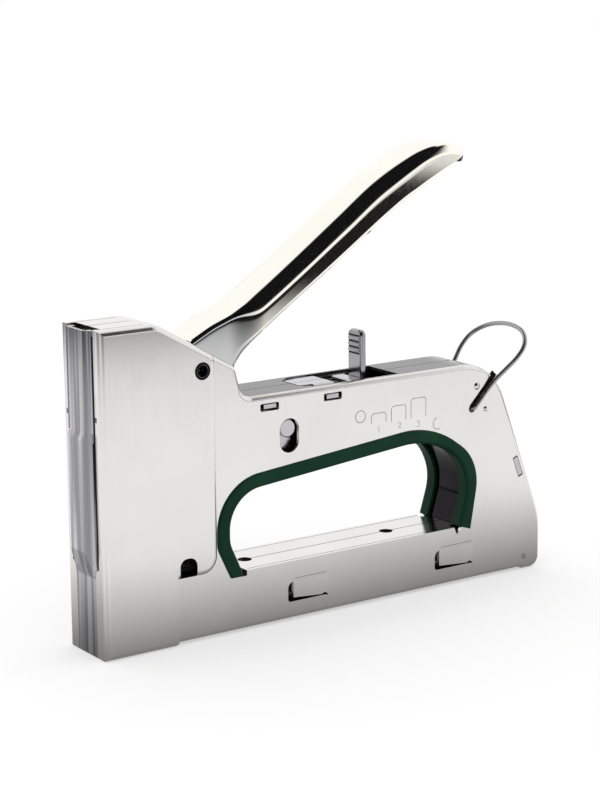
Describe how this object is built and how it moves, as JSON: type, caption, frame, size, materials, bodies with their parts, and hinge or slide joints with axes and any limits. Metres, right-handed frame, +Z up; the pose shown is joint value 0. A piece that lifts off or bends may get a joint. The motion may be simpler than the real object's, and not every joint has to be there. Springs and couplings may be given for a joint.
{
  "type": "staple gun",
  "caption": "Hand-squeezed heavy-duty staple gun: two pressed-steel half shells, chrome lever, spring-driven driver, power adjuster, sliding staple magazine and wire bail.",
  "frame": {"origin": "on the ground under the front face of the nose, in the middle of the tool's width", "axes": "+X from the nose to the rear, +Y across the tool toward its right-hand side, +Z up"},
  "size_m": [0.1906, 0.0334, 0.1616],
  "materials": {
    "plated_steel": "bright nickel plate over pressed sheet",
    "chrome_handle": "mirror chrome",
    "green_plastic": "dark green, satin",
    "dark_liner": "dark mirror-rolled strip",
    "black_steel": "black oxide",
    "hard_steel": "ground, hardened",
    "inner_steel": "zinc plate, satin",
    "spring_steel": "oiled spring wire",
    "bright_wire": "polished wire",
    "black_rubber": "moulded",
    "black_plastic": "moulded, fine grain"
  },
  "bodies": {
    "body": {"left_shell": "plated_steel", "right_shell": "plated_steel", "front_plate": "plated_steel", "grip_trim_left": "green_plastic", "grip_trim_right": "green_plastic", "grip_liner": "dark_liner", "handle_pivot_pin": "black_steel", "fulcrum_pin": "hard_steel", "inner_frame_left": "inner_steel", "inner_frame_right": "inner_steel", "adjuster_pin": "hard_steel", "frame_rivets": "plated_steel", "driver_guide": "inner_steel", "bumper": "black_rubber", "rear_brace": "inner_steel", "bail_plate_left": "inner_steel", "bail_plate_right": "inner_steel", "bail_rivets": "plated_steel", "magazine_channel": "inner_steel", "latch_pin": "hard_steel", "mainspring": "spring_steel", "handle_return_spring": "spring_steel", "latch_spring": "spring_steel"},
    "handle": {"handle": "chrome_handle", "lift_roller": "hard_steel", "roller_pin": "hard_steel"},
    "power_arm": {"power_arm": "hard_steel"},
    "driver": {"driver_blade": "hard_steel"},
    "spring_seat": {"spring_seat": "inner_steel"},
    "adjuster": {"power_adjuster": "plated_steel"},
    "bail": {"bail": "bright_wire"},
    "drawer": {"staple_rail": "inner_steel", "end_cap": "black_plastic", "guide_rod": "bright_wire", "pusher_spring": "spring_steel"},
    "pusher": {"staple_pusher": "inner_steel"},
    "latch": {"magazine_latch": "inner_steel"}
  },
  "joints": [
    {"name": "handle_hinge", "type": "hinge", "parent": "body", "child": "handle", "pos_m": [0.0387, 0, 0.0928], "axis": [0, 1, 0], "range_deg": [0, 25], "stiffness_Nm_per_rad": 1, "springref_deg": -28.65, "deforming": ["handle_return_spring"]},
    {"name": "power_arm_hinge", "type": "hinge", "parent": "body", "child": "power_arm", "pos_m": [0.0735, 0, 0.0685], "axis": [0, 1, 0], "range_deg": [0, 10.01], "deforming": ["mainspring"]},
    {"name": "driver_slide", "type": "slide", "parent": "body", "child": "driver", "axis": [0, 0, 1], "range_m": [0, 0.01291]},
    {"name": "seat_slide", "type": "slide", "parent": "body", "child": "spring_seat", "axis": [-1, 0, 0], "range_m": [0, 0.00172]},
    {"name": "adjuster_hinge", "type": "hinge", "parent": "body", "child": "adjuster", "pos_m": [0.111, 0, 0.07], "axis": [0, 1, 0], "range_deg": [0, 36]},
    {"name": "bail_hinge", "type": "hinge", "parent": "body", "child": "bail", "pos_m": [0.1542, 0, 0.0649], "axis": [0, -1, 0], "range_deg": [-30, 15]},
    {"name": "magazine_slide", "type": "slide", "parent": "body", "child": "drawer", "axis": [1, 0, 0], "range_m": [0, 0.09]},
    {"name": "pusher_slide", "type": "slide", "parent": "drawer", "child": "pusher", "axis": [1, 0, 0], "range_m": [0, 0.1], "stiffness_N_per_m": 40, "springref_m": -0.05, "deforming": ["pusher_spring"]},
    {"name": "latch_hinge", "type": "hinge", "parent": "body", "child": "latch", "pos_m": [0.18, 0, 0.0049], "axis": [0, -1, 0], "range_deg": [0, 12], "stiffness_Nm_per_rad": 0.05, "springref_deg": -11.46, "deforming": ["latch_spring"]}
  ],
  "couplings": [
    {"joint": "power_arm_hinge", "follows": "handle_hinge", "ratio": 0.4},
    {"joint": "driver_slide", "follows": "handle_hinge", "m_per_rad": 0.02957},
    {"joint": "seat_slide", "follows": "adjuster_hinge", "m_per_rad": 0.002722}
  ]
}
